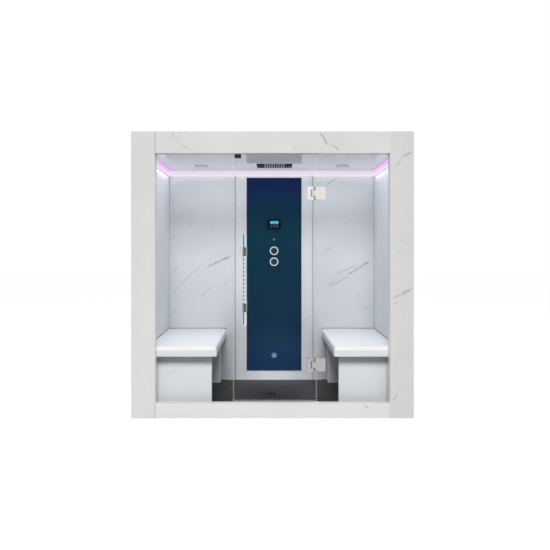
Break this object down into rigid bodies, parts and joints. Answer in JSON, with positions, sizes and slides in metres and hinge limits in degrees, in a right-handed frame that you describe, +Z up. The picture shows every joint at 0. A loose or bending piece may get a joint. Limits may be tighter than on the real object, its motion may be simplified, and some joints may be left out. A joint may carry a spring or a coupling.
{
  "type": "steam room",
  "caption": "Free-standing steam room with a marble-look front, hinged glass door, facing benches, a lit ceiling edge and a dark console with controls.",
  "frame": {"origin": "middle of the footprint, on the ground", "axes": "+Z up, +Y from the glass front towards the back wall, +X to the right seen from the front"},
  "size_m": [2.1, 1.25, 2.13],
  "materials": {
    "marble_cladding": "polished marble-look composite with sparse grey veins",
    "marble_lining": "polished marble-look wall panel with grey veins",
    "ceiling_gloss": "high-gloss white",
    "bench_white": "plain white solid surface",
    "clear_glass": "clear toughened glass, polished edges",
    "console_tint": "back-painted navy glass, glossy",
    "chrome": "polished chrome",
    "satin_steel": "satin steel",
    "dark_metal": "dark bronze, satin",
    "black_plastic": "gloss black",
    "knob_black": "dark gloss",
    "screen": "backlit display",
    "keypad": "black membrane with pale key dots",
    "clear_seal": "translucent seal",
    "stop_rubber": "dark rubber",
    "white_panel": "white laminated composite panel",
    "timber": "treated stud timber",
    "tray_white": "white moulded tray",
    "charcoal_board": "charcoal grained composite",
    "brass": "cast brass",
    "copper_pipe": "drawn copper",
    "generator_case": "pale grey case",
    "aluminium_channel": "anodised",
    "light_diffuser": "lit lilac diffuser",
    "shower_dark": "dark satin",
    "nozzle_grey": "pale silicone",
    "frosted_lens": "frosted lens, unlit"
  },
  "bodies": {
    "room": {"left_front_post": "marble_cladding", "right_front_post": "marble_cladding", "front_header": "marble_cladding", "front_sill": "marble_cladding", "left_fixed_glass": "clear_glass", "right_fixed_glass": "clear_glass", "glass_seals": "clear_seal", "door_stop": "stop_rubber", "hinge_fixed_leaves": "satin_steel", "hinge_fixed_clamps": "satin_steel", "floor_tray": "tray_white", "front_floor_board": "charcoal_board", "middle_floor_board": "charcoal_board", "rear_floor_board": "charcoal_board", "drain_grate": "satin_steel", "left_wall_lining": "marble_lining", "right_wall_lining": "marble_lining", "side_wall_frames": "timber", "left_outer_skin": "white_panel", "right_outer_skin": "white_panel", "back_left_lining": "marble_lining", "back_right_lining": "marble_lining", "column_lining": "marble_lining", "rear_wall_frame": "timber", "rear_cover": "white_panel", "ceiling_panel": "ceiling_gloss", "roof_frame": "timber", "roof_panel": "white_panel", "light_channel": "aluminium_channel", "light_diffuser": "light_diffuser", "downlight_bezels": "shower_dark", "downlight_lenses": "frosted_lens", "shower_head": "shower_dark", "shower_nozzle_plate": "nozzle_grey", "shower_riser": "copper_pipe", "console_glass": "console_tint", "controller_housing": "black_plastic", "controller_screen": "screen", "controller_keypad": "keypad", "temperature_probe": "satin_steel", "valve_body": "brass", "supply_pipes": "copper_pipe", "knob_rings": "chrome", "steam_outlet": "chrome", "steam_pipe": "copper_pipe", "steam_generator": "generator_case", "left_bench_slab": "bench_white", "right_bench_slab": "bench_white", "left_bench_legs": "marble_lining", "right_bench_legs": "marble_lining"},
    "door": {"door_glass": "clear_glass", "hinge_door_leaves": "satin_steel", "hinge_door_clamps": "satin_steel", "hinge_pins": "chrome", "door_seals": "clear_seal", "outer_handle_bar": "chrome", "inner_handle_bar": "chrome", "handle_clamps": "dark_metal"},
    "upper_control": {"upper_knob": "knob_black"},
    "lower_control": {"lower_knob": "knob_black"}
  },
  "joints": [
    {"name": "door_hinge", "type": "hinge", "parent": "room", "child": "door", "pos_m": [0.303, -0.577, 1.03], "axis": [0, 0, 1], "range_deg": [0, 90]},
    {"name": "upper_knob_turn", "type": "hinge", "parent": "room", "child": "upper_control", "pos_m": [0.022, 0.457, 1.237], "axis": [0, -1, 0], "range_deg": [-90, 90]},
    {"name": "lower_knob_turn", "type": "hinge", "parent": "room", "child": "lower_control", "pos_m": [0.022, 0.457, 1.136], "axis": [0, -1, 0], "range_deg": [-135, 135]}
  ]
}
